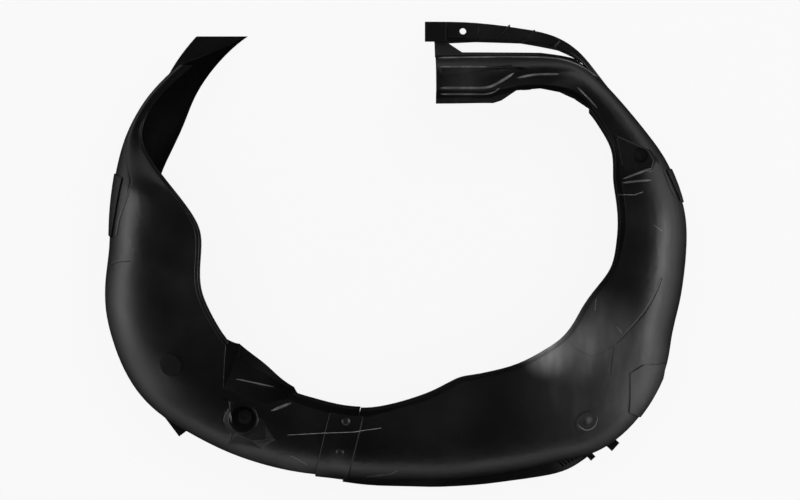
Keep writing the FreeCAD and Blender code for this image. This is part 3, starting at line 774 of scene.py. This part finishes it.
def floor_paint(colour, level):
    """Pale floor that reads as white, with painted shadow under the liner where its holes show the floor and,
    for gloss, painted shade round it.
    """
    material, tree, shader = new_material("floor_paint")
    coords = add(tree, "ShaderNodeTexCoord").outputs["Object"]
    gloss = add(tree, "ShaderNodeLightPath").outputs["Is Glossy Ray"]
    dark = math_node(tree, "MULTIPLY", soft_spot(tree, coords, AXIS + UP * level, *SHADE_SPOT), gloss)
    paint = mix_colour(tree, dark, tuple(colour), SHADE_BLACK)
    tree.links.new(paint, shader.inputs["Base Color"])
    shader.inputs["Roughness"].default_value = FLOOR_ROUGHNESS
    # Painted shadow on the floor behind each hole
    for pixel in HOLES:
        covered = soft_spot(tree, coords, covered_floor(pixel, level), *HOLE_SPOT)
        dark = math_node(tree, "MAXIMUM", dark, covered)
    glow = add(tree, "ShaderNodeEmission")
    glow.inputs["Color"].default_value = WHITE
    tree.links.new(math_node(tree, "SUBTRACT", 1.0, dark), glow.inputs["Strength"])
    seen = math_node(tree, "MULTIPLY", background_rays(tree), GLOW_SHARE)
    mix_shader(tree, seen, shader.outputs[0], glow.outputs[0], "Material Output")
    return material


def studio_world():
    """White to the camera and to gloss; as a light it is pale at the horizon and dim overhead."""
    world = bpy.data.worlds.new("studio")
    world.use_nodes = True
    tree = world.node_tree
    white = tree.nodes["Background"]
    white.inputs["Color"].default_value = WHITE
    white.inputs["Strength"].default_value = 1.0
    room = add(tree, "ShaderNodeBackground")
    rise = add(tree, "ShaderNodeSeparateXYZ")
    tree.links.new(add(tree, "ShaderNodeTexCoord").outputs["Generated"], rise.inputs[0])
    dim = ramp(tree, rise.outputs["Z"], low=0.0, high=0.75, first=0.5, last=0.06)
    tree.links.new(dim, room.inputs["Strength"])
    mix_shader(tree, background_rays(tree), room.outputs[0], white.outputs[0], "World Output")
    return world


class WHEELGUARD_OT_stage(bpy.types.Operator):
    """Sets the floor, the lights, the background and the camera"""
    bl_idname = "wheel_guard.stage"
    bl_label = "Stage"

    def execute(self, context):
        settings = context.scene.wheel_guard_stage
        shape = bmesh.new()
        bmesh.ops.create_grid(shape, x_segments=1, y_segments=1, size=FLOOR_HALF)
        level = BASE - FLOOR_DROP
        bmesh.ops.translate(shape, verts=shape.verts, vec=UP * level)
        ground = new_piece("floor", shape, floor_paint(settings.floor, level))
        context.scene.world = studio_world()

        flag_cloth()
        middle = FLAG_HEIGHT / 2
        dark_flag(
            "overhead_flag", width=19.0, depth=7.0,
            place=(0.0, 0.0, FLAG_HEIGHT), target=(0.0, 0.0, 0.0),
        )
        dark_flag(
            "near_flag", width=7.0, depth=FLAG_HEIGHT,
            place=(0.0, -FLAG_DISTANCE, middle), target=(0.0, 0.0, middle),
        )
        dark_flag(
            "far_flag", width=7.0, depth=FLAG_HEIGHT,
            place=(0.0, FLAG_DISTANCE, middle), target=(0.0, 0.0, middle),
        )
        dark_flag(
            "side_flag", width=3.0, depth=FLAG_HEIGHT,
            place=(-FLAG_DISTANCE, 2.0, middle), target=(0.0, 2.0, middle),
        )
        area_light(
            "left_light", place=(-2.6, -0.15, 0.35), target=(-0.4, -0.15, 0.15),
            width=1.3, height=0.6, power=settings.left_power,
        )
        area_light(
            "right_light", place=(2.6, -0.1, 0.8), target=(0.4, 0.0, 0.18),
            width=1.8, height=0.5, power=settings.right_power,
        )
        fill = area_light(
            "fill_light", place=(0.0, 0.3, 2.6), target=(0.0, 0.0, 0.0),
            width=2.6, height=2.6, power=settings.fill_power,
        )
        fill.visible_glossy = False

        lens = bpy.data.cameras.new("camera")
        lens.sensor_width = SENSOR_WIDTH
        lens.lens = settings.lens
        camera = bpy.data.objects.new("camera", lens)
        camera.location = camera_place()
        context.scene.collection.objects.link(camera)
        context.scene.camera = camera
        context.scene.view_settings.view_transform = "Standard"
        return {"FINISHED"}


class WHEELGUARD_PT_panel(bpy.types.Panel):
    """Lists the liner's settings and steps"""
    bl_idname = "WHEELGUARD_PT_panel"
    bl_label = "Wheel guard"
    bl_space_type = "VIEW_3D"
    bl_region_type = "UI"
    bl_category = "Wheel guard"

    def draw(self, context):
        for settings in (context.scene.wheel_guard_finish, context.scene.wheel_guard_stage):
            for name in settings.__annotations__:
                self.layout.prop(settings, name)
        for step in STEPS:
            self.layout.operator(step.bl_idname)


STEPS = (
    WHEELGUARD_OT_materials, WHEELGUARD_OT_mouldings, WHEELGUARD_OT_ridges, WHEELGUARD_OT_vent,
    WHEELGUARD_OT_web, WHEELGUARD_OT_rivets, WHEELGUARD_OT_stage,
)
CLASSES = (WheelGuardFinish, WheelGuardStage) + STEPS + (WHEELGUARD_PT_panel,)


def register():
    for item in CLASSES:
        bpy.utils.register_class(item)
    bpy.types.Scene.wheel_guard_finish = PointerProperty(type=WheelGuardFinish)
    bpy.types.Scene.wheel_guard_stage = PointerProperty(type=WheelGuardStage)


def unregister():
    del bpy.types.Scene.wheel_guard_stage
    del bpy.types.Scene.wheel_guard_finish
    for item in reversed(CLASSES):
        bpy.utils.unregister_class(item)


def main():
    """Dresses the liner step by step."""
    register()
    bpy.ops.wheel_guard.materials()
    bpy.ops.wheel_guard.mouldings()
    bpy.ops.wheel_guard.ridges()
    bpy.ops.wheel_guard.vent()
    bpy.ops.wheel_guard.web()
    bpy.ops.wheel_guard.rivets()
    bpy.ops.wheel_guard.stage()


if __name__ == "__main__":
    main()
